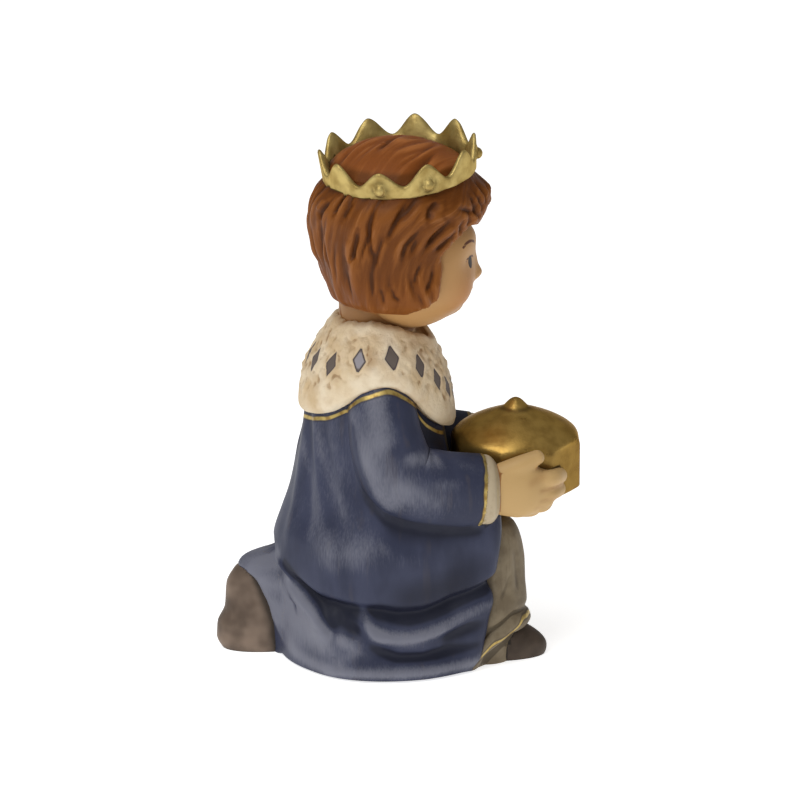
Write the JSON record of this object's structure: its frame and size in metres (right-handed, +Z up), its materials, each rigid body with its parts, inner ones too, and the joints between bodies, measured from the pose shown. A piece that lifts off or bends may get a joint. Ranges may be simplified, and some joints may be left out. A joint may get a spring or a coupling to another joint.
{
  "type": "wise man nativity figurine",
  "caption": "Small painted bisque porcelain figurine of a crowned child king in a long cloak and fur collar, kneeling and holding out a golden box; stands on its flat underside.",
  "frame": {"origin": "middle of the bounding box's underside, on the surface that the figurine stands on", "axes": "+Z up; the kneeling king faces -Y and his right hand is towards -X"},
  "size_m": [0.0392, 0.0656, 0.0974],
  "materials": {
    "painted_bisque": "matt bisque, hand painted: slate blue cloak, cream fur collar, brown hair, skin, grey-brown tunic and shoes, matt gold crown and box"
  },
  "bodies": {
    "root": {"figurine": "painted_bisque"}
  },
  "joints": []
}
